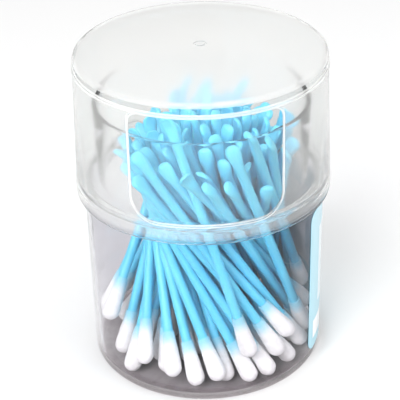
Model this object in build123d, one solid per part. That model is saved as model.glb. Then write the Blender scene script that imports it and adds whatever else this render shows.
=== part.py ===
from build123d import *
import math
import os

import numpy as np

# Cotton swab tub: a clear jar with a neck, a frosted cap, a sticker and a packed bundle of swabs.
# Millimetres. The axis is Z, the origin is the centre of the jar's flat underside, the front is -Y.

# swabs
swab_length = 70.0
swab_headroom = 15.2         # from the top of a swab that stands on the floor to the lid
stick_radius = 1.3
bud_radius = 2.35
bud_length = 12.0
bud_neck_wall = 0.3          # cotton round the stick where the bud ends
bud_waist = 0.3              # how much slimmer the bud is by its waist
bud_waist_share = 0.45       # share of the bud's height at which that waist lies
bud_taper = 0.25             # how much slimmer the bud's upper half is
bud_round_part = 5.0         # height of the full-width part above the centre of the round end
stick_in_bud = 1.5           # from the centre of the bud's round end to the stick's end
stick_glue = 0.1
spoon_length = 6.0
spoon_neck = 2.0             # where the round stick begins to flatten into the spoon
spoon_half_width = 1.95
spoon_side_room = 0.55       # free space beside the bent spoon
spoon_rise = 1.9             # from the centre of that free space to the spoon's tip
spoon_bend = 0.8             # how far the tip leans to one side
swab_gap = 0.22              # least space between neighbours

# jar
jar_foot_radius = 31.2
jar_draft = 0.4              # how much wider the body is at its shoulder
neck_step = 3.4              # how much slimmer the neck is than the foot
neck_length = 22.0
jar_wall = 1.2
jar_floor = 1.5
jar_foot_fillet = 1.6
jar_inner_fillet = 1.0
jar_shoulder_fillet = 0.6
jar_lip_fillet = 0.4

# lid
lid_height = 38.0
lid_wall = 1.2
lid_top = 1.3
lid_clearance = 0.8          # between the lid's rim and the jar's shoulder
lid_overlap = 3.0            # how far the rim reaches down past the shoulder
lid_draft = 1.0
lid_crown_fillet = 1.5
stop_bead_height = 1.2
stop_bead_reach = 1.2        # how far the stop bead covers the jar's shoulder
rim_lip_height = 0.5
rim_groove_height = 0.6
rim_groove_depth = 0.3
rim_band_height = 2.9
rim_band_proud = 0.15

# raised lines on the lid
line_width = 0.6
line_proud = 0.25
line_root = 0.4              # how far a raised line reaches into the lid's wall
crown_strip = 3.5            # plain strip between the top edge and the raised ring
window_foot_strip = 2.3      # plain strip between a window and the rim band
window_half_angle = 35.4
window_top_fillet = 3.2
window_bottom_fillet = 6.5
window_turns = (1.8, 202.9)  # degrees about the axis from the front
gate_radius = 1.7
gate_groove = 0.5
gate_depth = 0.3
gate_offset = 3.0

# sticker
label_low = 3.4
label_lid_gap = 3.0          # between the sticker's top edge and the lid
label_width = 57.0
label_start = 61.0           # degrees from the front to the sticker's near edge
label_thickness = 0.15
label_glue = 0.12
label_corner = 3.0

# how the bundle is packed
ring_inset = 6.0             # from the jar's inner wall to the outermost ring of buds
ring_slack = 0.18            # between one ring's buds and the next, past the least space
ring_spare = 1.2             # how many fewer buds a ring starts with than would touch
innermost_ring = 2.0
ring_stagger = 0.3           # radians that a ring is turned for each millimetre of its radius
angle_scatter = 0.03         # radians
head_scatter = 2.0
upper_share = 0.1            # swabs that stand on the others, per swab on the floor
upper_lift = 7.0
upper_inset = 3.0            # from the outermost ring of buds to most of those above
upper_turn = 0.1             # radians between the first bud on the floor and the first above
bundle_twist = -95.0
bundle_twist_spread = 16.0
waist_drop = 6.0             # from the shoulder down to where the bundle is tightest
waist_room = 1.47            # waist radius of one swab, in stick radii
ease_slack = 0.5             # how much the waist is let out once the bundle is gathered
settled_slack = 3.0          # how much it is let out in the end
waist_offset = 5.5
throat_room = 0.1
settled_share = 0.05         # shortfall at which the packing is done, as a share of the least space
tilt_range = (0.2, 0.95)     # shares of a swab's height between which its tilt is judged
foot_share = 0.15            # how much of a sideways nudge reaches a swab's foot
drop_step = 0.02
push_strength = 0.7
gather_strength = 0.3
ease_strength = 0.1
settle_strength = 0.06
packing_seed = 5
gather_steps = 600
ease_steps = 900
settle_steps = 1400
group_count = 28

tub_height = jar_floor + swab_length + swab_headroom + lid_top
lid_low = tub_height - lid_height
jar_shoulder_height = lid_low + lid_overlap
jar_height = jar_shoulder_height + neck_length
jar_shoulder_radius = jar_foot_radius + jar_draft
jar_neck_radius = jar_foot_radius - neck_step
jar_inner_radius = jar_foot_radius - jar_wall
neck_inner_radius = jar_neck_radius - jar_wall
lid_rim_radius = jar_shoulder_radius + lid_clearance + lid_wall
lid_crown_radius = lid_rim_radius - lid_draft
ring_height = tub_height - crown_strip
window_top = ring_height + line_width / 2
window_bottom = lid_low + rim_band_height + window_foot_strip
label_top = lid_low - label_lid_gap
bud_neck_radius = stick_radius + bud_neck_wall
spoon_room = spoon_half_width + spoon_side_room
swab_axis = swab_length - bud_radius - spoon_rise
ring_step = 2 * bud_radius + swab_gap + ring_slack
ring_out = jar_inner_radius - ring_inset


def lid_radius(z):
    """Outer radius of the lid's wall at a height."""
    share = (z - lid_low) / lid_height
    return lid_rim_radius + (lid_crown_radius - lid_rim_radius) * share


def jar_radius(z):
    """Outer radius of the jar's body at a height."""
    share = z / jar_shoulder_height
    return jar_foot_radius + (jar_shoulder_radius - jar_foot_radius) * share


def turned(points, arc=360):
    """Solid of revolution about Z from (radius, height) points."""
    outline = Polyline(*[(r, 0, z) for r, z in points], close=True)
    return revolve(make_face(outline), Axis.Z, arc)


def rim_edges(solid, radius, z):
    """The circular edges of this radius at this height."""
    rims = []
    for edge in solid.edges():
        if edge.geom_type != GeomType.CIRCLE or abs(edge.center(CenterOf.BOUNDING_BOX).Z - z) > 0.01:
            continue
        if abs(edge.radius - radius) < 0.01:
            rims.append(edge)
    return rims


# ---- jar ----

def make_base():
    shoulder = jar_shoulder_height
    outline = [
        (0, 0),
        (jar_foot_radius, 0),
        (jar_shoulder_radius, shoulder),
        (jar_neck_radius, shoulder),
        (jar_neck_radius, jar_height),
        (neck_inner_radius, jar_height),
        (neck_inner_radius, shoulder - jar_wall),
        (jar_radius(shoulder - jar_wall) - jar_wall, shoulder - jar_wall),
        (jar_radius(jar_floor) - jar_wall, jar_floor),
        (0, jar_floor),
    ]
    jar = turned(outline)
    jar = fillet(rim_edges(jar, jar_foot_radius, 0), jar_foot_fillet)
    jar = fillet(rim_edges(jar, jar_radius(jar_floor) - jar_wall, jar_floor), jar_inner_fillet)
    jar = fillet(rim_edges(jar, jar_shoulder_radius, shoulder), jar_shoulder_fillet)
    jar = fillet(rim_edges(jar, jar_neck_radius, jar_height), jar_lip_fillet)
    return jar


# ---- lid ----

def lid_shell():
    """The plain cap with its rim band, groove, lip and inner stop bead."""
    lip_top = lid_low + rim_lip_height
    groove_top = lip_top + rim_groove_height
    band_top = lid_low + rim_band_height
    inside = lid_rim_radius - lid_wall
    stop_low = jar_shoulder_height
    stop_top = stop_low + stop_bead_height
    stop_radius = jar_shoulder_radius - stop_bead_reach
    under_top = tub_height - lid_top
    outline = [
        (inside, lid_low),
        (lid_rim_radius, lid_low),
        (lid_rim_radius, lip_top),
        (lid_rim_radius - rim_groove_depth, lip_top),
        (lid_rim_radius - rim_groove_depth, groove_top),
        (lid_radius(groove_top) + rim_band_proud, groove_top),
        (lid_radius(band_top) + rim_band_proud, band_top),
        (lid_radius(band_top + rim_band_proud), band_top + rim_band_proud),
        (lid_crown_radius, tub_height),
        (0, tub_height),
        (0, under_top),
        (lid_radius(under_top) - lid_wall, under_top),
        (lid_radius(stop_top) - lid_wall, stop_top),
        (stop_radius, stop_top),
        (stop_radius, stop_low),
        (inside, stop_low),
    ]
    shell = turned(outline)
    shell = fillet(rim_edges(shell, lid_crown_radius, tub_height), lid_crown_fillet)
    return fillet(rim_edges(shell, lid_radius(under_top) - lid_wall, under_top), lid_crown_fillet / 2)


def wall_skin(low, high):
    """Thin tapered sleeve from inside the lid's wall to the face of its raised lines."""
    return turned([
        (lid_radius(low) - line_root, low),
        (lid_radius(low) + line_proud, low),
        (lid_radius(high) + line_proud, high),
        (lid_radius(high) - line_root, high),
    ])


def window_outline(shrink):
    """Front outline of a window, with rounder corners below than above."""
    half = lid_radius(ring_height) * math.sin(math.radians(window_half_angle)) - shrink
    top = window_top - shrink
    low = window_bottom + shrink
    corners = Polyline((-half, low), (half, low), (half, top), (-half, top), close=True)
    face = make_face(corners)
    upper = face.vertices().sort_by(Axis.Y)[2:]
    face = fillet(upper, window_top_fillet - shrink)
    lower = face.vertices().sort_by(Axis.Y)[:2]
    return fillet(lower, window_bottom_fillet - shrink)


def window_line(turn):
    """Raised line round one window, turned about the axis from the front."""
    frame = window_outline(0) - window_outline(line_width)
    bar = extrude(Plane.XZ * frame, 2 * lid_rim_radius)
    skin = wall_skin(window_bottom - line_width, window_top + line_width)
    return Rot(0, 0, turn) * (skin & bar)


def make_lid():
    lid = lid_shell()
    lid += wall_skin(ring_height - line_width / 2, ring_height + line_width / 2)
    for turn in window_turns:
        lid += window_line(turn)
    gate = Cylinder(gate_radius, gate_depth * 2) - Cylinder(gate_radius - gate_groove, gate_depth * 2)
    return lid - Pos(0, gate_offset, tub_height) * gate


# ---- sticker ----

def corner_cutter(angle, inward, z, upward):
    """What is trimmed off one square corner of the film to round it."""
    a = math.radians(angle)
    plane = Plane((0, 0, z), x_dir=(-math.sin(a), math.cos(a), 0), z_dir=(math.cos(a), math.sin(a), 0))
    spare = 1.0
    side = label_corner + spare
    middle = (label_corner - spare) / 2
    square = Pos(inward * middle, upward * middle) * Rectangle(side, side)
    rounded = square - Pos(inward * label_corner, upward * label_corner) * Circle(label_corner)
    return extrude(plane * rounded, jar_shoulder_radius + side)


def make_label():
    inner_low = jar_radius(label_low) + label_glue
    inner_top = jar_radius(label_top) + label_glue
    arc = math.degrees(label_width / jar_radius(label_top))
    film = turned([
        (inner_low, label_low),
        (inner_low + label_thickness, label_low),
        (inner_top + label_thickness, label_top),
        (inner_top, label_top),
    ], arc)
    for angle, inward in ((0, 1), (arc, -1)):
        for z, upward in ((label_low, 1), (label_top, -1)):
            film -= corner_cutter(angle, inward, z, upward)
    return Rot(0, 0, label_start - 90) * film


# ---- swabs ----

def swab_parts():
    """Stretches of a swab along its axis, from the centre of the bud's round end: start, end, radius."""
    spoon_start = swab_axis + spoon_rise - spoon_length + spoon_room
    return [
        (0.0, bud_round_part, bud_radius),
        (bud_round_part, bud_length - bud_radius, bud_radius - bud_taper),
        (0.0, spoon_start, stick_radius),
        (spoon_start, swab_axis, spoon_room),
    ]


def lowest_foot():
    return jar_floor + swab_gap + bud_radius


def bud_rings():
    """Radius and number of buds of each ring on the jar's floor. Rounded, so that no float noise gets in."""
    rings = []
    for k in range(math.ceil(ring_out / ring_step)):
        radius = round(max(ring_out - k * ring_step, innermost_ring), 6)
        rings.append((radius, max(int(2 * math.pi * radius / ring_step - ring_spare), 2)))
    return rings


def first_places():
    """Bud and spoon ends of every swab as it is dropped in: rings on the floor, the rest above them."""
    rng = np.random.default_rng(packing_seed)
    places = []
    for radius, count in bud_rings():
        for k in range(count):
            places.append((radius, 2 * math.pi * k / count + ring_stagger * radius, 0.0))
    spare = int(upper_share * len(places))
    upper_radii = (ring_out / 2, ring_out - upper_inset, ring_out - upper_inset)
    for k in range(spare):
        places.append((round(upper_radii[k % 3], 6), 2 * math.pi * k / spare + upper_turn, upper_lift))
    count = len(places)
    radius, angle, lift = np.array(places).T
    angle = angle + rng.normal(0, angle_scatter, count)
    twist = np.radians(bundle_twist + rng.normal(0, bundle_twist_spread, count))
    top_radius = np.clip(radius + rng.normal(0, head_scatter, count), 0, round(ring_out, 6))
    feet = np.c_[radius * np.cos(angle), radius * np.sin(angle), lowest_foot() + lift]
    heads = np.c_[top_radius * np.cos(angle + twist), top_radius * np.sin(angle + twist), feet[:, 2]]
    flat = np.linalg.norm(heads[:, :2] - feet[:, :2], axis=1)
    heads[:, 2] += np.sqrt(swab_axis ** 2 - flat ** 2)
    return feet, heads


def nearest_shares(p, d, q, e):
    """Shares along the lines p + s d and q + t e at which they come nearest to each other."""
    apart = p - q
    dd = (d * d).sum(-1)
    de = (d * e).sum(-1)
    ee = (e * e).sum(-1)
    dr = (d * apart).sum(-1)
    er = (e * apart).sum(-1)
    spread = np.maximum(dd * ee - de * de, 1e-9)
    s = np.clip((de * er - dr * ee) / spread, 0, 1)
    t = np.clip((de * s + er) / ee, 0, 1)
    s = np.clip((de * t - dr) / dd, 0, 1)
    return s, t


def push_apart(feet, heads, gap):
    """One round of moving crowded swabs away from each other. Returns the deepest shortfall."""
    one, other = np.triu_indices(len(feet), 1)
    way = (heads - feet) / swab_axis
    parts = swab_parts()
    feet_move = np.zeros_like(feet)
    heads_move = np.zeros_like(heads)
    touches = np.zeros(len(feet))
    worst = 0.0
    for i, (a0, a1, a_radius) in enumerate(parts):
        for j, (b0, b1, b_radius) in enumerate(parts):
            if max(i, j) == 3 and min(i, j) < 2:
                continue
            p, d = feet[one] + way[one] * a0, way[one] * (a1 - a0)
            q, e = feet[other] + way[other] * b0, way[other] * (b1 - b0)
            s, t = nearest_shares(p, d, q, e)
            apart = (p + d * s[:, None]) - (q + e * t[:, None])
            distance = np.linalg.norm(apart, axis=1)
            short = a_radius + b_radius + gap - distance
            near = short > 0
            if not near.any():
                continue
            worst = max(worst, short.max())
            move = apart[near] * (push_strength * short[near] / np.maximum(distance[near], 1e-6))[:, None]
            a_share = ((a0 + (a1 - a0) * s[near]) / swab_axis)[:, None]
            b_share = ((b0 + (b1 - b0) * t[near]) / swab_axis)[:, None]
            np.add.at(feet_move, one[near], move * (1 - a_share))
            np.add.at(heads_move, one[near], move * a_share)
            np.add.at(feet_move, other[near], -move * (1 - b_share))
            np.add.at(heads_move, other[near], -move * b_share)
            np.add.at(touches, one[near], 1)
            np.add.at(touches, other[near], 1)
    ease = 1 / np.sqrt(np.maximum(touches, 1))[:, None]
    return feet + feet_move * ease, heads + heads_move * ease, worst


def hold_at(height, centre, limit, strength, feet, heads):
    """Draw each swab's axis in to within a radius of the centre at this height, mostly by tilting it."""
    rise = np.maximum(heads[:, 2] - feet[:, 2], 1)
    share = np.clip((height - feet[:, 2]) / rise, *tilt_range)[:, None]
    offset = (feet + (heads - feet) * share)[:, :2] - centre
    distance = np.linalg.norm(offset, axis=1)[:, None]
    move = -offset * np.maximum(0, 1 - limit / np.maximum(distance, 1e-6)) * strength
    heads[:, :2] += move
    feet[:, :2] += move * foot_share


def keep_inside(feet, heads):
    """Hold the swabs inside the jar's wall and neck, above its floor, and each at its length."""
    throat = neck_inner_radius - swab_gap - stick_radius - throat_room
    hold_at(jar_shoulder_height - jar_wall, np.zeros(2), throat, 1.0, feet, heads)
    for ends, limit in (
        (feet, jar_inner_radius - swab_gap - bud_radius),
        (heads, neck_inner_radius - swab_gap - spoon_room),
    ):
        distance = np.linalg.norm(ends[:, :2], axis=1)
        ends[:, :2] *= np.minimum(1, limit / np.maximum(distance, 1e-9))[:, None]
    feet[:, 2] = np.maximum(feet[:, 2], lowest_foot())
    line = heads - feet
    return feet + line / np.linalg.norm(line, axis=1)[:, None] * swab_axis


def settle():
    """Swab ends after the bundle has been gathered, dropped and left to spread until nothing overlaps."""
    feet, heads = first_places()
    waist_height = jar_shoulder_height - waist_drop
    waist_radius = round(waist_room * stick_radius * math.sqrt(len(feet)), 1)
    waist_centre = np.array([waist_offset, 0.0])
    for step in range(gather_steps + ease_steps + settle_steps):
        feet, heads, worst = push_apart(feet, heads, swab_gap)
        if step < gather_steps:
            feet[:, 2] -= drop_step
            slack, strength = 0, gather_strength
        elif step < gather_steps + ease_steps:
            slack, strength = ease_slack, ease_strength
        else:
            slack, strength = settled_slack, settle_strength
        hold_at(waist_height, waist_centre, waist_radius + slack, strength, feet, heads)
        if worst < settled_share * swab_gap:
            break
        heads = keep_inside(feet, heads)
    print("packing: swabs", len(feet), "steps", step + 1, "tightest gap", round(swab_gap - worst, 3))
    return feet, heads


def make_bud():
    """Wound cotton: round end down, drawn out to a thin neck, with a bore for the stick."""
    end = bud_length - bud_radius
    with BuildLine(Plane.XZ) as side:
        round_end = CenterArc((0, 0), bud_radius, -90, 90)
        Spline(
            round_end @ 1,
            (bud_radius - bud_waist, end * bud_waist_share),
            (bud_neck_radius, end),
            tangents=((0, 1), (-0.15, 1)),
        )
        Line((bud_neck_radius, end), (0, end))
        Line((0, end), (0, -bud_radius))
    bud = revolve(make_face(side.edges()), Axis.Z)
    bore_depth = end - stick_in_bud
    bore = Cylinder(stick_radius + stick_glue, bore_depth, align=(Align.CENTER, Align.CENTER, Align.MIN))
    return bud - Pos(0, 0, stick_in_bud) * bore


def make_stick():
    """Round stick that flattens into a bent ear-pick spoon at its upper end."""
    start = stick_in_bud + stick_glue
    top = swab_axis + spoon_rise
    neck = top - spoon_length - spoon_neck
    rod = Cylinder(stick_radius, neck - start, align=(Align.CENTER, Align.CENTER, Align.MIN))
    # share of the way from the neck to the tip, half width, half thickness, sideways lean
    stations = (
        (0.0, stick_radius, stick_radius, 0.0),
        (0.25, stick_radius * 1.08, stick_radius * 0.98, -0.1),
        (0.5, spoon_half_width * 0.88, stick_radius * 0.86, -0.15),
        (0.72, spoon_half_width, stick_radius * 0.75, 0.12),
        (0.88, spoon_half_width * 0.94, stick_radius * 0.67, 0.58),
        (0.97, spoon_half_width * 0.64, stick_radius * 0.48, 0.9),
        (1.0, spoon_half_width * 0.27, stick_radius * 0.26, 1.0),
    )
    sections = [
        Pos(0, spoon_bend * lean, neck + (top - neck) * share) * Ellipse(half_width, half_thickness)
        for share, half_width, half_thickness, lean in stations
    ]
    return Pos(0, 0, start) * rod + loft(sections)


def placed(solid, foot, head, roll):
    """A copy of a swab's piece, moved from the Z axis onto the line from foot to head."""
    way = Vector(*(head - foot)).normalized()
    side = way.cross(Vector(0, 0, 1)).normalized()
    plane = Plane(origin=Vector(*foot), x_dir=side, z_dir=way)
    return plane.location * Rot(0, 0, roll) * solid


def swab_groups(feet):
    """Indices of neighbouring swabs, group by group, going round the tub."""
    order = np.argsort(np.arctan2(feet[:, 1], feet[:, 0]))
    return np.array_split(order, group_count)


def make_swabs():
    """Named groups of separate sticks and buds."""
    feet, heads = settle()
    rolls = np.random.default_rng(packing_seed).uniform(0, 360, len(feet))
    stick = make_stick()
    bud = make_bud()
    parts = {}
    for number, members in enumerate(swab_groups(feet), 1):
        sticks = [placed(stick, feet[k], heads[k], rolls[k]).solid() for k in members]
        buds = [placed(bud, feet[k], heads[k], 0).solid() for k in members]
        parts[f"sticks_{number:02d}"] = Compound(sticks)
        parts[f"buds_{number:02d}"] = Compound(buds)
    return parts


os.makedirs("parts", exist_ok=True)
nodes = {"base": make_base(), "lid": make_lid(), "label": make_label()}
nodes.update(make_swabs())
for name, shape in nodes.items():
    export_step(shape, f"parts/{name}.step")
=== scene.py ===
import math

import bmesh
import bpy
from mathutils import Matrix, Vector


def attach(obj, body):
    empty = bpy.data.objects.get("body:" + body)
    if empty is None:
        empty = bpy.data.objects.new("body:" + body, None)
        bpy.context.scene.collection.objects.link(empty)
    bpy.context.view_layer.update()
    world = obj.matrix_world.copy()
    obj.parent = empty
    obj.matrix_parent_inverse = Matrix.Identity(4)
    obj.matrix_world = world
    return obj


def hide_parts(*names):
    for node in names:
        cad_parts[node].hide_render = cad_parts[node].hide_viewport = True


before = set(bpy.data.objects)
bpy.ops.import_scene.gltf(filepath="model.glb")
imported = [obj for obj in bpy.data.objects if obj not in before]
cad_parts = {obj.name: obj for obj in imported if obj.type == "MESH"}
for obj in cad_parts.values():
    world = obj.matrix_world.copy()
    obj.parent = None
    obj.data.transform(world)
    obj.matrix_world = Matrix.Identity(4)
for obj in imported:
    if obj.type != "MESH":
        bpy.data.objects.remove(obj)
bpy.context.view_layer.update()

mm = 0.001
roundSegments = 128
hubRadius = 8  # flat disc in the middle of a turned piece, in millimetres

# distance, aim and lens in millimetres, angles in degrees
cameraValues = {
    "distance": 386.1,
    "elevation": 29.81,
    "aimHeight": 44.0,
    "lens": 129.35,
    "roll": -1.435,
    "shift": (-0.0096, -0.0031),
}


def startClean():
    if bpy.context.object and bpy.context.object.mode != "OBJECT":
        bpy.ops.object.mode_set(mode="OBJECT")
    bpy.ops.object.select_all(action="DESELECT")


def workOn(*pieces):
    startClean()
    for piece in pieces:
        piece.select_set(True)
    bpy.context.view_layer.objects.active = pieces[0]


def editAll(piece):
    workOn(piece)
    bpy.ops.object.mode_set(mode="EDIT")
    bpy.ops.mesh.select_all(action="SELECT")


def backToObject():
    bpy.ops.object.mode_set(mode="OBJECT")


def settleInPlace(piece):
    workOn(piece)
    bpy.ops.object.transform_apply(location=True, rotation=True, scale=True)


def tidyMesh(piece):
    editAll(piece)
    bpy.ops.mesh.remove_doubles(threshold=0.001 * mm)
    bpy.ops.mesh.normals_make_consistent(inside=False)
    backToObject()


def smoothShade(piece, degrees=35):
    workOn(piece)
    bpy.ops.object.shade_smooth_by_angle(angle=math.radians(degrees))


def addModifier(piece, kind, **settings):
    workOn(piece)
    modifier = piece.modifiers.new(kind.lower(), kind)
    for key, value in settings.items():
        setattr(modifier, key, value)
    bpy.ops.object.modifier_apply(modifier=modifier.name)


def filletCorner(before, corner, after, radius, steps):
    # arc points that replace one corner of a profile
    a = (Vector(before) - Vector(corner)).normalized()
    b = (Vector(after) - Vector(corner)).normalized()
    half = a.angle(b) / 2
    reach = radius / math.tan(half)
    centre = Vector(corner) + (a + b).normalized() * (radius / math.sin(half))
    start = Vector(corner) + a * reach - centre
    end = Vector(corner) + b * reach - centre
    turn = start.angle_signed(end)
    points = []
    for k in range(steps + 1):
        angle = -turn * k / steps
        c, s = math.cos(angle), math.sin(angle)
        points.append((centre.x + start.x * c - start.y * s, centre.y + start.x * s + start.y * c))
    return points


def softProfile(corners, steps=4):
    # corners are (radius, height) or, where they are rounded, (radius, height, fillet)
    points = []
    for k, corner in enumerate(corners):
        if len(corner) == 3 and 0 < k < len(corners) - 1:
            points += filletCorner(corners[k - 1][:2], corner[:2], corners[k + 1][:2], corner[2], steps)
        else:
            points.append(corner[:2])
    return points


def turnedShell(name, profile):
    # a ring pulled from point to point of a profile, with flat discs closing both ends
    radius, height = profile[0]
    bpy.ops.mesh.primitive_circle_add(vertices=roundSegments, radius=radius * mm,
                                      location=(0, 0, height * mm))
    piece = bpy.context.object
    piece.name = name
    settleInPlace(piece)
    editAll(piece)
    bpy.ops.mesh.edge_face_add()
    bpy.ops.mesh.select_mode(type="EDGE")
    for (oldRadius, oldHeight), (newRadius, newHeight) in zip(profile, profile[1:]):
        rise = (newHeight - oldHeight) * mm
        grow = newRadius / oldRadius
        bpy.ops.mesh.extrude_edges_move(TRANSFORM_OT_translate={"value": (0, 0, rise)})
        bpy.ops.transform.resize(value=(grow, grow, 1), center_override=(0, 0, newHeight * mm))
    bpy.ops.mesh.edge_face_add()
    backToObject()
    tidyMesh(piece)
    return piece


jarValues = {
    "footRadius": 31.2,
    "shoulderRadius": 31.6,
    "shoulderHeight": 53.0,
    "neckRadius": 27.8,
    "height": 75.0,
    "wall": 1.2,
    "floor": 1.5,
    "footFillet": 1.6,
    "shoulderFillet": 0.6,
    "neckFillet": 0.3,
    "lipFillet": 0.4,
    "innerFillet": 0.5,
    "floorFillet": 1.0,
}


def jarRadius(height):
    v = jarValues
    return v["footRadius"] + (v["shoulderRadius"] - v["footRadius"]) * height / v["shoulderHeight"]


def makeJar():
    v = jarValues
    foot, shoulder, neck = v["footRadius"], v["shoulderRadius"], v["neckRadius"]
    wall, low, step = v["wall"], v["floor"], v["shoulderHeight"]
    profile = softProfile([
        (hubRadius, 0),
        (foot, 0, v["footFillet"]),
        (shoulder, step, v["shoulderFillet"]),
        (neck, step, v["neckFillet"]),
        (neck, v["height"], v["lipFillet"]),
        (neck - wall, v["height"], v["lipFillet"]),
        (neck - wall, step - wall, v["innerFillet"]),
        (shoulder - wall, step - wall, v["innerFillet"]),
        (foot - wall, low, v["floorFillet"]),
        (hubRadius, low),
    ])
    jar = turnedShell("clear_jar", profile)
    smoothShade(jar)
    return jar


lidValues = {
    "low": 50.0,
    "top": 88.0,
    "rimRadius": 33.6,
    "crownRadius": 32.6,
    "wall": 1.2,
    "topThickness": 1.3,
    "ringHeight": 84.5,
    "lineWidth": 0.6,
    "lineProud": 0.25,
    "lineEdge": 0.12,
    "lineFoot": 0.08,
    "windowTopDrop": 0.05,
    "windowHeight": 29.6,
    "windowHalfAngle": 35.4,
    "windowTurns": (1.8, 202.9),
    "windowTopCorner": 3.2,
    "windowBottomCorner": 6.5,
    "lineRoot": 0.4,
    "crownFillet": 1.5,
    "lipHeight": 0.5,
    "grooveDepth": 0.3,
    "bandLow": 1.1,
    "bandTop": 2.9,
    "bandProud": 0.15,
    "stopLow": 3.03,
    "stopTop": 4.2,
    "stopRadius": 30.4,
    "gateRadius": 1.45,
    "gateGroove": 0.28,
    "gateOffset": 3.0,
}


def lidRadius(z):
    v = lidValues
    return v["rimRadius"] + (v["crownRadius"] - v["rimRadius"]) * (z - v["low"]) / (v["top"] - v["low"])


def makeLidShell():
    v = lidValues
    low, top, rim, wall = v["low"], v["top"], v["rimRadius"], v["wall"]
    ringLow, ringTop = v["ringHeight"] - v["lineWidth"] / 2, v["ringHeight"] + v["lineWidth"] / 2
    proud, slant = v["lineProud"], v["lineFoot"]
    under = top - v["topThickness"]
    lip, bandLow, bandTop = low + v["lipHeight"], low + v["bandLow"], low + v["bandTop"]
    stopLow, stopTop = low + v["stopLow"], low + v["stopTop"]
    groove, band = rim - v["grooveDepth"], v["bandProud"]
    profile = softProfile([
        (hubRadius, top),
        (v["crownRadius"], top, v["crownFillet"]),
        (lidRadius(ringTop), ringTop, slant),
        (lidRadius(ringTop) + proud, ringTop - slant, v["lineEdge"]),
        (lidRadius(ringLow) + proud, ringLow + slant, v["lineEdge"]),
        (lidRadius(ringLow), ringLow, slant),
        (lidRadius(bandTop + band), bandTop + band),
        (lidRadius(bandTop) + band, bandTop, 0.06),
        (lidRadius(bandLow) + band, bandLow, 0.15),
        (groove, bandLow, 0.1),
        (groove, lip, 0.1),
        (rim, lip, 0.15),
        (rim, low, 0.15),
        (rim - wall, low, 0.2),
        (rim - wall, stopLow, 0.2),
        (v["stopRadius"], stopLow, 0.15),
        (v["stopRadius"], stopTop, 0.3),
        (lidRadius(stopTop) - wall, stopTop, 0.4),
        (lidRadius(under) - wall, under, v["crownFillet"] / 2),
        (hubRadius, under),
    ], steps=3)
    return turnedShell("frosted_lid", profile)


def windowLine(turn):
    # raised line round one window: a flat frame laid on the lid's wall, then drawn out to its face
    v = lidValues
    half = lidRadius(v["ringHeight"]) * math.sin(math.radians(v["windowHalfAngle"])) * mm
    top = (v["ringHeight"] + v["lineWidth"] / 2 - v["windowTopDrop"]) * mm
    tall = v["windowHeight"] * mm
    bpy.ops.mesh.primitive_plane_add(size=1, location=(0, 0, top - tall / 2), rotation=(math.pi / 2, 0, 0))
    line = bpy.context.object
    line.scale = (2 * half, tall, 1)
    settleInPlace(line)
    for upper, radius in ((True, v["windowTopCorner"]), (False, v["windowBottomCorner"])):
        editAll(line)
        bpy.ops.mesh.select_all(action="DESELECT")
        net = bmesh.from_edit_mesh(line.data)
        corners = [p for p in net.verts if abs(abs(p.co.x) - half) < 1e-6]
        edge = max(p.co.z for p in corners) if upper else min(p.co.z for p in corners)
        for p in corners:
            p.select = abs(p.co.z - edge) < 1e-6
        net.select_flush(True)
        bmesh.update_edit_mesh(line.data)
        bpy.ops.mesh.bevel(offset=radius * mm, segments=8, affect="VERTICES")
        backToObject()
    editAll(line)
    bpy.ops.mesh.inset(thickness=v["lineWidth"] * mm)
    bpy.ops.mesh.delete(type="FACE")
    bpy.ops.mesh.select_all(action="DESELECT")
    net = bmesh.from_edit_mesh(line.data)
    for edge in net.edges:
        a, b = edge.verts
        edge.select = abs(a.co.z - b.co.z) < 1e-6 and abs(a.co.x - b.co.x) > 0.5 * half
    bmesh.update_edit_mesh(line.data)
    bpy.ops.mesh.subdivide(number_cuts=23)
    # inner face of the line, a little inside the lid's wall
    for p in bmesh.from_edit_mesh(line.data).verts:
        radius = (lidRadius(p.co.z / mm) - v["lineRoot"]) * mm
        p.co.y = -math.sqrt(radius ** 2 - p.co.x ** 2)
    bpy.ops.mesh.select_all(action="SELECT")
    bpy.ops.mesh.extrude_region_move()
    net = bmesh.from_edit_mesh(line.data)
    reach = v["lineRoot"] + v["lineProud"]
    for p in net.verts:
        if p.select:
            out = Vector((p.co.x, p.co.y, 0)).normalized()
            p.co += out * reach * mm
    bmesh.update_edit_mesh(line.data)
    bpy.ops.mesh.region_to_loop()
    bpy.ops.mesh.bevel(offset=v["lineEdge"] * mm, segments=2, affect="EDGES")
    bpy.ops.mesh.select_all(action="SELECT")
    bpy.ops.transform.rotate(value=-math.radians(turn), orient_axis="Z", center_override=(0, 0, 0))
    backToObject()
    tidyMesh(line)
    return line


def gateRing():
    v = lidValues
    place = (0, v["gateOffset"] * mm, v["top"] * mm)
    bpy.ops.mesh.primitive_torus_add(location=place, major_radius=v["gateRadius"] * mm,
                                     minor_radius=v["gateGroove"] * mm, major_segments=40, minor_segments=10)
    ring = bpy.context.object
    settleInPlace(ring)
    return ring


def makeLid():
    lid = makeLidShell()
    for turn in lidValues["windowTurns"]:
        line = windowLine(turn)
        addModifier(lid, "BOOLEAN", operation="UNION", object=line, solver="EXACT")
        bpy.data.objects.remove(line)
    gate = gateRing()
    addModifier(lid, "BOOLEAN", operation="DIFFERENCE", object=gate, solver="EXACT")
    bpy.data.objects.remove(gate)
    smoothShade(lid)
    return lid


stickerValues = {
    "low": 3.4,
    "height": 43.6,
    "width": 57.0,
    "start": 61.0,
    "thickness": 0.15,
    "glue": 0.12,
    "corner": 3.0,
    "strips": 36,
    "rows": 4,
}


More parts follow.
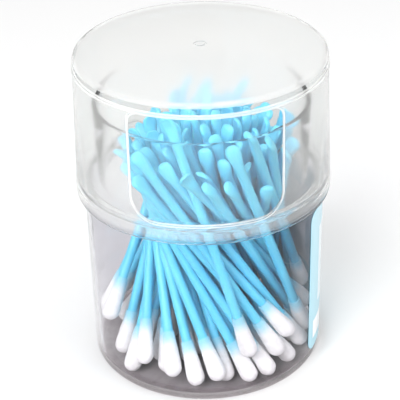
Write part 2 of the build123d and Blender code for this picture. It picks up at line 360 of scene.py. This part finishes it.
def makeSticker():
    v = stickerValues
    wide, tall = v["width"] * mm, v["height"] * mm
    bpy.ops.mesh.primitive_plane_add(size=1, location=(wide / 2, 0, v["low"] * mm + tall / 2),
                                     rotation=(math.pi / 2, 0, 0))
    film = bpy.context.object
    film.name = "sticker"
    film.scale = (wide, tall, 1)
    settleInPlace(film)
    editAll(film)
    bpy.ops.mesh.bevel(offset=v["corner"] * mm, segments=8, affect="VERTICES")
    # cut into upright strips so that the film can follow the jar
    for k in range(1, v["strips"]):
        bpy.ops.mesh.select_all(action="SELECT")
        bpy.ops.mesh.bisect(plane_co=(wide * k / v["strips"], 0, 0), plane_no=(1, 0, 0))
    for k in range(1, v["rows"]):
        bpy.ops.mesh.select_all(action="SELECT")
        bpy.ops.mesh.bisect(plane_co=(0, 0, v["low"] * mm + tall * k / v["rows"]), plane_no=(0, 0, 1))
    topRadius = jarRadius(v["low"] + v["height"])
    net = bmesh.from_edit_mesh(film.data)
    layer = net.loops.layers.uv.verify()
    for face in net.faces:
        for loop in face.loops:
            loop[layer].uv = (loop.vert.co.x / wide, (loop.vert.co.z - v["low"] * mm) / tall)
    for p in net.verts:
        radius = (jarRadius(p.co.z / mm) + v["glue"]) * mm
        angle = math.radians(v["start"] - 90) + p.co.x / (topRadius * mm)
        p.co.x, p.co.y = radius * math.cos(angle), radius * math.sin(angle)
    bmesh.update_edit_mesh(film.data)
    bpy.ops.mesh.select_all(action="SELECT")
    bpy.ops.mesh.normals_make_consistent(inside=False)
    backToObject()
    if film.data.polygons[0].normal.dot(film.data.polygons[0].center) < 0:
        film.data.flip_normals()
    addModifier(film, "SOLIDIFY", thickness=v["thickness"] * mm, offset=1)
    smoothShade(film)
    return film


swabValues = {
    "length": 70.0,
    "stickRadius": 1.3,
    "stickStart": 1.6,
    "spoonLength": 8.0,
    "dish": 0.4,
    "budRadius": 2.35,
    "budLength": 12.0,
    "budNeckWall": 0.3,
    "boreRoom": 0.1,
    "lumpSize": 2.2,
    "lumpHeight": 0.2,
    "dishRange": (0.45, 0.97),  # shares of the spoon between which it is hollowed
    "dishStart": 0.4,
    "dishFade": 0.3,
    "dishWidth": 0.75,
    "footSlice": 0.4,  # thickness of the slices that find the ends of a CAD stick
    "neckSlice": 0.35,
    "tipSlice": 0.3,
}


def makeStickModel():
    # round stick drawn out into a bent, dished spoon, standing on the Z axis
    v = swabValues
    radius, start = v["stickRadius"], v["stickStart"]
    tip = v["length"] - v["budRadius"]
    neck = tip - v["spoonLength"]
    bpy.ops.mesh.primitive_cylinder_add(vertices=16, radius=radius * mm, depth=(neck - start) * mm,
                                        location=(0, 0, (start + neck) / 2 * mm), end_fill_type="NGON")
    stick = bpy.context.object
    stick.name = "stick_model"
    settleInPlace(stick)
    editAll(stick)
    bpy.ops.mesh.select_all(action="DESELECT")
    net = bmesh.from_edit_mesh(stick.data)
    for face in net.faces:
        face.select = face.normal.z > 0.9
    bmesh.update_edit_mesh(stick.data)
    # share of the spoon, half width, half thickness, sideways bend
    stations = [
        (0.12, 1.33, 1.3, -0.03),
        (0.25, 1.41, 1.27, -0.08),
        (0.38, 1.54, 1.2, -0.12),
        (0.5, 1.7, 1.12, -0.12),
        (0.62, 1.85, 1.04, -0.04),
        (0.72, 1.93, 0.98, 0.1),
        (0.81, 1.93, 0.93, 0.28),
        (0.88, 1.82, 0.87, 0.46),
        (0.94, 1.52, 0.78, 0.62),
        (0.98, 1.05, 0.58, 0.74),
        (1.0, 0.48, 0.3, 0.8),
    ]
    oldHeight, oldWide, oldThick, oldBend = neck, radius, radius, 0.0
    for share, wide, thick, bend in stations:
        height = neck + (tip - neck) * share
        step = (0, (bend - oldBend) * mm, (height - oldHeight) * mm)
        bpy.ops.mesh.extrude_region_move(TRANSFORM_OT_translate={"value": step})
        bpy.ops.transform.resize(value=(wide / oldWide, thick / oldThick, 1),
                                 center_override=(0, bend * mm, height * mm))
        oldHeight, oldWide, oldThick, oldBend = height, wide, thick, bend
    bpy.ops.mesh.select_all(action="SELECT")
    # hollow of the spoon, on the side it bends towards
    net = bmesh.from_edit_mesh(stick.data)
    for p in net.verts:
        share = (p.co.z / mm - neck) / (tip - neck)
        if share < v["dishRange"][0] or share > v["dishRange"][1]:
            continue
        middle = [s for s in stations if abs(s[0] - share) < 0.01]
        if middle and p.co.y / mm > middle[0][3]:
            inward = max(0, 1 - (p.co.x / mm / (v["dishWidth"] * middle[0][1])) ** 2)
            p.co.y -= v["dish"] * min(1, (share - v["dishStart"]) / v["dishFade"]) * inward * mm
    bmesh.update_edit_mesh(stick.data)
    backToObject()
    smoothShade(stick, 60)
    return stick


def makeBudModel():
    # wound cotton, round end down, open at the neck for the stick, with a UV map running from tip to neck
    v = swabValues
    radius, bore = v["budRadius"], v["stickRadius"] + v["boreRoom"]
    end = v["budLength"] - radius
    neckRadius = v["stickRadius"] + v["budNeckWall"]
    outline = []
    for degrees in (-65, -45, -25, -8):
        a = math.radians(degrees)
        outline.append((radius * math.cos(a), radius * math.sin(a)))
    # share of the way up, share of the fullness left
    stations = ((0.08, 1), (0.24, 0.86), (0.4, 0.67), (0.55, 0.48),
                (0.68, 0.32), (0.8, 0.19), (0.91, 0.08), (1, 0))
    for share, full in stations:
        outline.append((neckRadius + (radius - neckRadius) * full, end * share))
    outline += [(bore, end), (bore, end * 0.6), (bore, v["stickStart"])]
    oldRadius, oldHeight = 0.17 * radius, -0.985 * radius
    bpy.ops.mesh.primitive_circle_add(vertices=20, radius=oldRadius * mm, location=(0, 0, oldHeight * mm),
                                      fill_type="NGON")
    bud = bpy.context.object
    bud.name = "bud_model"
    settleInPlace(bud)
    editAll(bud)
    bpy.ops.mesh.select_mode(type="EDGE")
    for newRadius, newHeight in outline:
        rise = (newHeight - oldHeight) * mm
        bpy.ops.mesh.extrude_edges_move(TRANSFORM_OT_translate={"value": (0, 0, rise)})
        grow = newRadius / oldRadius
        bpy.ops.transform.resize(value=(grow, grow, 1), center_override=(0, 0, newHeight * mm))
        oldRadius, oldHeight = newRadius, newHeight
    bpy.ops.mesh.edge_face_add()
    backToObject()
    tidyMesh(bud)
    layer = bud.data.uv_layers.new(name="along")
    for loop in bud.data.loops:
        p = bud.data.vertices[loop.vertex_index].co / mm
        layer.data[loop.index].uv = (math.atan2(p.y, p.x) / math.tau + 0.5, (p.z + radius) / v["budLength"])
    lumps = bpy.data.textures.new("cotton_lumps", "CLOUDS")
    lumps.noise_scale = v["lumpSize"] * mm
    addModifier(bud, "DISPLACE", texture=lumps, strength=v["lumpHeight"] * mm, mid_level=0.5)
    smoothShade(bud, 50)
    return bud


def swabPlaces(node):
    # where each stick of a CAD node stands: its lower end on the Z axis, its spoon bending to +Y
    copy = node.copy()
    copy.data = node.data.copy()
    bpy.context.collection.objects.link(copy)
    copy.hide_render = False
    editAll(copy)
    bpy.ops.mesh.remove_doubles(threshold=0.001 * mm)
    bpy.ops.mesh.separate(type="LOOSE")
    backToObject()
    places = []
    v = swabValues
    straight = v["length"] - v["budRadius"] - v["spoonLength"] - v["stickStart"]
    for part in list(bpy.context.selected_objects):
        points = [p.co.copy() for p in part.data.vertices]
        low = min(points, key=lambda p: p.z)
        far = max(points, key=lambda p: (p - low).length)
        way = (far - low).normalized()
        start = low
        for again in range(3):
            heights = [(p, (p - start).dot(way)) for p in points]
            base = min(h for p, h in heights)
            lower = [p for p, h in heights if h - base < v["footSlice"] * mm]
            upper = [p for p, h in heights if abs(h - base - straight * mm) < v["neckSlice"] * mm]
            start = sum(lower, Vector()) / len(lower)
            end = sum(upper, Vector()) / len(upper)
            way = (end - start).normalized()
        heights = [(p, (p - start).dot(way)) for p in points]
        peak = max(h for p, h in heights)
        tipPoints = [p for p, h in heights if peak - h < v["tipSlice"] * mm]
        tip = sum(tipPoints, Vector()) / len(tipPoints)
        bend = tip - start - way * (tip - start).dot(way)
        bend.normalize()
        side = bend.cross(way)
        foot = start - way * v["stickStart"] * mm
        turn = Matrix((side, bend, way)).transposed().to_4x4()
        places.append(Matrix.Translation(foot) @ turn)
        bpy.data.objects.remove(part)
    return places


def placedCopies(model, places, name):
    copies = []
    for place in places:
        copy = model.copy()
        copy.data = model.data.copy()
        copy.data.transform(place)
        bpy.context.collection.objects.link(copy)
        copies.append(copy)
    workOn(*copies)
    bpy.ops.object.join()
    copies[0].name = name
    copies[0].data.name = name
    return copies[0]


def newMaterial(name):
    material = bpy.data.materials.new(name)
    material.use_nodes = True
    tree = material.node_tree
    tree.nodes.clear()
    output = tree.nodes.new("ShaderNodeOutputMaterial")
    return material, tree, output


def addNode(tree, kind, inputs=None, **settings):
    node = tree.nodes.new(kind)
    for key, value in settings.items():
        setattr(node, key, value)
    for key, value in (inputs or {}).items():
        if isinstance(value, bpy.types.NodeSocket):
            tree.links.new(value, node.inputs[key])
        else:
            node.inputs[key].default_value = value
    return node


def maths(tree, operation, a, b=None, c=None, clamp=False):
    inputs = {0: a}
    if b is not None:
        inputs[1] = b
    if c is not None:
        inputs[2] = c
    return addNode(tree, "ShaderNodeMath", inputs, operation=operation, use_clamp=clamp).outputs[0]


def blend(tree, share, colour, other):
    return addNode(tree, "ShaderNodeMix", {0: share, 6: colour, 7: other}, data_type="RGBA").outputs[2]


def mixValue(tree, share, value, other):
    return addNode(tree, "ShaderNodeMix", {0: share, 2: value, 3: other}, data_type="FLOAT").outputs[0]


def letLightThrough(tree, output, shader, tint):
    # lamps shine through the plastic instead of casting a solid shadow
    path = addNode(tree, "ShaderNodeLightPath")
    clear = addNode(tree, "ShaderNodeBsdfTransparent", {"Color": tint})
    shadow = path.outputs["Is Shadow Ray"]
    mix = addNode(tree, "ShaderNodeMixShader", {0: shadow, 1: shader, 2: clear.outputs[0]})
    tree.links.new(mix.outputs[0], output.inputs["Surface"])


def clearPlastic():
    material, tree, output = newMaterial("clear_plastic")
    place = addNode(tree, "ShaderNodeTexCoord").outputs["Object"]
    waves = addNode(tree, "ShaderNodeTexNoise", {"Vector": place, "Scale": 55.0, "Detail": 2.0})
    bump = addNode(tree, "ShaderNodeBump", {"Strength": 0.05, "Distance": 0.001, "Height": waves.outputs[0]})
    # painted shade: the tint turns dark and brownish over the lowest few millimetres of the jar, is a lighter
    # grey over the body and nearly clear above the shoulder
    height = addNode(tree, "ShaderNodeSeparateXYZ", {0: place}).outputs["Z"]
    rise = maths(tree, "DIVIDE", height, jarValues["height"] * mm)
    tintAndFootShade = addNode(tree, "ShaderNodeValToRGB", {0: rise})
    # the darkest stop, at the foot, is painted shade
    tintAndFootShade.color_ramp.elements[0].position = 0.01
    tintAndFootShade.color_ramp.elements[0].color = (0.4, 0.35, 0.37, 1)
    tintAndFootShade.color_ramp.elements[1].position = 0.74
    tintAndFootShade.color_ramp.elements[1].color = (0.96, 0.96, 0.96, 1)
    for share, colour in ((0.06, (0.8, 0.78, 0.81, 1)), (0.66, (0.76, 0.76, 0.79, 1))):
        tintAndFootShade.color_ramp.elements.new(share).color = colour
    shader = addNode(tree, "ShaderNodeBsdfPrincipled", {
        "Base Color": tintAndFootShade.outputs[0],
        "Roughness": 0.03,
        "IOR": 1.12,
        "Coat Weight": 0.4,
        "Coat Roughness": 0.03,
        "Transmission Weight": 1.0,
        "Normal": bump.outputs[0],
    })
    letLightThrough(tree, output, shader.outputs[0], (0.97, 0.97, 0.97, 1))
    return material


def windowMask(tree, place, turn):
    # two masks: 1 inside a window's outline, and 1 on the outline itself
    v = lidValues
    half = lidRadius(v["ringHeight"]) * math.sin(math.radians(v["windowHalfAngle"]))
    tall = v["windowHeight"] / 2
    middle = v["ringHeight"] - tall
    turned = addNode(tree, "ShaderNodeMapping", {
        "Vector": place,
        "Rotation": (0, 0, math.radians(-turn)),
        "Scale": (1 / mm, 1 / mm, 1 / mm),
    })
    x, y, z = addNode(tree, "ShaderNodeSeparateXYZ", {0: turned.outputs[0]}).outputs
    # rounder corners below than above
    below = maths(tree, "LESS_THAN", z, middle)
    rounder = v["windowBottomCorner"] - v["windowTopCorner"]
    corner = maths(tree, "MULTIPLY_ADD", below, rounder, v["windowTopCorner"])

    def past(distance, limit):
        # how far a point lies past the straight part of a side
        over = maths(tree, "SUBTRACT", maths(tree, "ABSOLUTE", distance), limit)
        return maths(tree, "MAXIMUM", maths(tree, "ADD", over, corner), 0.0)

    sideways = past(x, half)
    upright = past(maths(tree, "SUBTRACT", z, middle), tall)
    square = maths(tree, "MULTIPLY", sideways, sideways)
    length = maths(tree, "SQRT", maths(tree, "MULTIPLY_ADD", upright, upright, square))
    inside = maths(tree, "LESS_THAN", length, corner)
    onLine = maths(tree, "COMPARE", length, corner, 0.2)
    front = maths(tree, "LESS_THAN", y, 0.0)
    return maths(tree, "MULTIPLY", inside, front), maths(tree, "MULTIPLY", onLine, front)


# roughness, and the share of the light that passes
frostValues = {
    "topZone": 1.2,
    "frost": 0.12,
    "frostClouds": 0.06,
    "topFrost": 0.08,
    "glossyRoughness": 0.04,
    "passing": 0.84,
    "topLoss": -0.22,
    "glossyPassing": 0.96,
    "linePassing": 0.45,
}


def frostedPlastic():
    material, tree, output = newMaterial("frosted_plastic")
    v, f = lidValues, frostValues
    place = addNode(tree, "ShaderNodeTexCoord").outputs["Object"]
    first, second = [windowMask(tree, place, turn) for turn in v["windowTurns"]]
    height = addNode(tree, "ShaderNodeSeparateXYZ", {0: place}).outputs["Z"]
    crown = maths(tree, "GREATER_THAN", height, v["ringHeight"] * mm)
    topFace = maths(tree, "GREATER_THAN", height, (v["top"] - f["topZone"]) * mm)
    strip = maths(tree, "SUBTRACT", crown, topFace, clamp=True)
    rim = maths(tree, "LESS_THAN", height, (v["low"] + v["bandLow"]) * mm)
    panes = maths(tree, "MAXIMUM", first[0], second[0])
    glossy = maths(tree, "MAXIMUM", panes, maths(tree, "MAXIMUM", strip, rim))
    ring = maths(tree, "COMPARE", height, v["ringHeight"] * mm, v["lineWidth"] / 2 * mm)
    lines = maths(tree, "MAXIMUM", maths(tree, "MAXIMUM", first[1], second[1]), ring)
    cloud = addNode(tree, "ShaderNodeTexNoise", {"Vector": place, "Scale": 40.0, "Detail": 3.0})
    grain = addNode(tree, "ShaderNodeTexNoise", {"Vector": place, "Scale": 2500.0, "Detail": 2.0})
    frost = maths(tree, "MULTIPLY_ADD", cloud.outputs[0], f["frostClouds"], f["frost"])
    frost = maths(tree, "MULTIPLY_ADD", topFace, f["topFrost"], frost)
    rough = mixValue(tree, glossy, frost, f["glossyRoughness"])
    # less light through the top, most through the windows, least through the raised lines
    passing = maths(tree, "MULTIPLY_ADD", topFace, f["topLoss"], f["passing"])
    veil = mixValue(tree, glossy, passing, f["glossyPassing"])
    veil = mixValue(tree, lines, veil, f["linePassing"])
    bumpHeight = maths(tree, "MULTIPLY", grain.outputs[0], maths(tree, "SUBTRACT", 1.0, glossy))
    bump = addNode(tree, "ShaderNodeBump", {"Strength": 0.12, "Distance": 0.0001, "Height": bumpHeight})
    shader = addNode(tree, "ShaderNodeBsdfPrincipled", {
        "Base Color": (0.88, 0.88, 0.87, 1),
        "Roughness": rough,
        "IOR": 1.12,
        "Transmission Weight": veil,
        "Normal": bump.outputs[0],
    })
    letLightThrough(tree, output, shader.outputs[0], (0.94, 0.94, 0.95, 1))
    return material


def bluePlastic():
    material, tree, output = newMaterial("blue_stick_plastic")
    place = addNode(tree, "ShaderNodeTexCoord").outputs["Object"]
    tone = addNode(tree, "ShaderNodeTexNoise", {"Vector": place, "Scale": 60.0, "Detail": 3.0})
    ramp = addNode(tree, "ShaderNodeValToRGB", {0: tone.outputs[0]})
    ramp.color_ramp.elements[0].position = 0.3
    ramp.color_ramp.elements[0].color = (0.12, 0.61, 0.84, 1)
    ramp.color_ramp.elements[1].position = 0.7
    ramp.color_ramp.elements[1].color = (0.17, 0.69, 0.91, 1)
    grain = addNode(tree, "ShaderNodeTexNoise", {"Vector": place, "Scale": 900.0, "Detail": 3.0})
    bump = addNode(tree, "ShaderNodeBump", {"Strength": 0.08, "Distance": 0.0003, "Height": grain.outputs[0]})
    shader = addNode(tree, "ShaderNodeBsdfPrincipled", {
        "Base Color": ramp.outputs[0],
        "Roughness": 0.38,
        "IOR": 1.5,
        "Subsurface Weight": 0.25,
        "Subsurface Radius": (0.2, 0.7, 1.0),
        "Subsurface Scale": 0.001,
        "Normal": bump.outputs[0],
    })
    tree.links.new(shader.outputs[0], output.inputs["Surface"])
    return material


def cotton():
    material, tree, output = newMaterial("wound_cotton")
    place = addNode(tree, "ShaderNodeTexCoord").outputs["Object"]
    lumps = addNode(tree, "ShaderNodeTexNoise", {
        "Vector": place,
        "Scale": 700.0,
        "Detail": 6.0,
        "Roughness": 0.6,
    })
    fibres = addNode(tree, "ShaderNodeTexNoise", {
        "Vector": place,
        "Scale": 2600.0,
        "Detail": 4.0,
        "Distortion": 1.5,
    })
    height = maths(tree, "MULTIPLY_ADD", fibres.outputs[0], 0.5, lumps.outputs[0])
    bump = addNode(tree, "ShaderNodeBump", {"Strength": 0.45, "Distance": 0.0004, "Height": height})
    # the colour follows the same lumps noise as the bump: a tone that differs at random and is also painted
    # shade, darker where the bump sinks into hollows
    ramp = addNode(tree, "ShaderNodeValToRGB", {0: lumps.outputs[0]})
    ramp.color_ramp.elements[0].position = 0.3
    ramp.color_ramp.elements[0].color = (0.82, 0.82, 0.81, 1)
    ramp.color_ramp.elements[1].position = 0.65
    ramp.color_ramp.elements[1].color = (0.94, 0.94, 0.93, 1)
    # the cotton thins out towards the neck and the stick shows through
    along = addNode(tree, "ShaderNodeUVMap", uv_map="along").outputs[0]
    share = addNode(tree, "ShaderNodeSeparateXYZ", {0: along}).outputs["Y"]
    ragged = maths(tree, "MULTIPLY_ADD", lumps.outputs[0], 0.25, share)
    thin = addNode(tree, "ShaderNodeMapRange", {0: ragged, 1: 0.72, 2: 1.1, 3: 0.0, 4: 0.85},
                   interpolation_type="SMOOTHSTEP")
    colour = blend(tree, thin.outputs[0], ramp.outputs[0], (0.2, 0.66, 0.86, 1))
    shader = addNode(tree, "ShaderNodeBsdfPrincipled", {
        "Base Color": colour,
        "Roughness": 0.95,
        "Specular IOR Level": 0.2,
        "Sheen Weight": 0.4,
        "Sheen Roughness": 0.5,
        "Subsurface Weight": 0.3,
        "Subsurface Radius": (1.0, 1.0, 1.0),
        "Subsurface Scale": 0.001,
        "Normal": bump.outputs[0],
    })
    tree.links.new(shader.outputs[0], output.inputs["Surface"])
    return material


def printedFilm():
    material, tree, output = newMaterial("printed_film")
    uv = addNode(tree, "ShaderNodeUVMap")
    parts = addNode(tree, "ShaderNodeSeparateXYZ", {0: uv.outputs[0]})
    x, y = parts.outputs[0], parts.outputs[1]

    def between(place, low, high):
        above = maths(tree, "GREATER_THAN", place, low)
        return maths(tree, "MULTIPLY", above, maths(tree, "LESS_THAN", place, high))

    def panel(left, right, low, high):
        return maths(tree, "MULTIPLY", between(x, left, right), between(y, low, high))

    # blue ground, a pale panel on it and a white strip below
    shade = blend(tree, y, (0.36, 0.68, 0.8, 1), (0.44, 0.74, 0.85, 1))
    pale = blend(tree, panel(0.12, 0.88, 0.3, 0.84), shade, (0.78, 0.89, 0.93, 1))
    white = blend(tree, panel(0.05, 0.34, 0.07, 0.2), pale, (0.9, 0.91, 0.92, 1))
    shader = addNode(tree, "ShaderNodeBsdfPrincipled", {
        "Base Color": white,
        "Roughness": 0.25,
        "Coat Weight": 0.3,
        "Coat Roughness": 0.1,
    })
    tree.links.new(shader.outputs[0], output.inputs["Surface"])
    return material


def paintWith(piece, material):
    piece.data.materials.clear()
    piece.data.materials.append(material)


startClean()
print("building the jar, lid and sticker")
jar = makeJar()
paintWith(jar, clearPlastic())
lid = makeLid()
paintWith(lid, frostedPlastic())
sticker = makeSticker()
paintWith(sticker, printedFilm())
for piece, body, node, slotName in (
    (jar, "tub", "base", "clear_jar"),
    (lid, "lid", "lid", "frosted_lid"),
    (sticker, "tub", "label", "sticker"),
):
    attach(piece, body)
    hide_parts(node)

print("placing the swabs")
stickModel, budModel = makeStickModel(), makeBudModel()
blueFinish, cottonFinish = bluePlastic(), cotton()
stickNodes = sorted(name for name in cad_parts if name.startswith("sticks_"))
for stickNode in stickNodes:
    number = stickNode[-2:]
    places = swabPlaces(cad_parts[stickNode])
    sticks = placedCopies(stickModel, places, f"stick_trio_{number}")
    paintWith(sticks, blueFinish)
    buds = placedCopies(budModel, places, f"bud_trio_{number}")
    paintWith(buds, cottonFinish)
    for piece, node, slotName in ((sticks, stickNode, "blue_stick"), (buds, f"buds_{number}", "cotton")):
        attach(piece, "tub")
        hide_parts(node)
bpy.data.objects.remove(stickModel)
bpy.data.objects.remove(budModel)

print("setting the floor, lights and camera")
startClean()
bpy.ops.mesh.primitive_plane_add(size=6, location=(0, 0, 0))
floor = bpy.context.object
floor.name = "studio_floor"
floorMaterial, tree, output = newMaterial("pale_floor")
floorShader = addNode(tree, "ShaderNodeBsdfPrincipled", {"Base Color": (0.9, 0.9, 0.9, 1), "Roughness": 0.8})
tree.links.new(floorShader.outputs[0], output.inputs["Surface"])
paintWith(floor, floorMaterial)

world = bpy.data.worlds.new("studio")
bpy.context.scene.world = world
world.use_nodes = True
world.node_tree.nodes["Background"].inputs["Color"].default_value = (1, 1, 1, 1)
world.node_tree.nodes["Background"].inputs["Strength"].default_value = 0.62
bpy.context.scene.view_settings.view_transform = "Standard"
# light crosses many layers of plastic here, and too few bounces turn them black
layers = 24
light = bpy.context.scene.cycles
light.max_bounces, light.transmission_bounces, light.transparent_max_bounces = layers, layers, layers


def softLight(name, place, size, power):
    lamp = bpy.data.lights.new(name, "AREA")
    lamp.shape = "RECTANGLE"
    lamp.size, lamp.size_y = size
    lamp.energy = power
    holder = bpy.data.objects.new(name, lamp)
    bpy.context.collection.objects.link(holder)
    holder.location = place
    aim = Vector((0, 0, 0.045)) - Vector(place)
    holder.rotation_euler = aim.to_track_quat("-Z", "Y").to_euler()


# place and size in metres, power in watts
softLight("key_light", (-0.35, -0.6, 0.6), (0.5, 0.5), 6)
softLight("fill_light", (0.6, -0.3, 0.4), (0.4, 0.5), 1.5)
softLight("top_light", (0.05, 0.15, 0.8), (0.5, 0.4), 1.0)

v = cameraValues
cameraData = bpy.data.cameras.new("camera")
camera = bpy.data.objects.new("camera", cameraData)
bpy.context.collection.objects.link(camera)
cameraData.lens = v["lens"]
cameraData.sensor_width = 36
cameraData.shift_x, cameraData.shift_y = v["shift"]
cameraData.clip_start = 0.01
lift = math.radians(v["elevation"])
back, rise = v["distance"] * math.cos(lift), v["distance"] * math.sin(lift)
camera.location = (0, -back * mm, (v["aimHeight"] + rise) * mm)
tilt = Matrix.Rotation(math.pi / 2 - lift, 4, "X")
camera.rotation_euler = (tilt @ Matrix.Rotation(math.radians(v["roll"]), 4, "Z")).to_euler()
bpy.context.scene.camera = camera
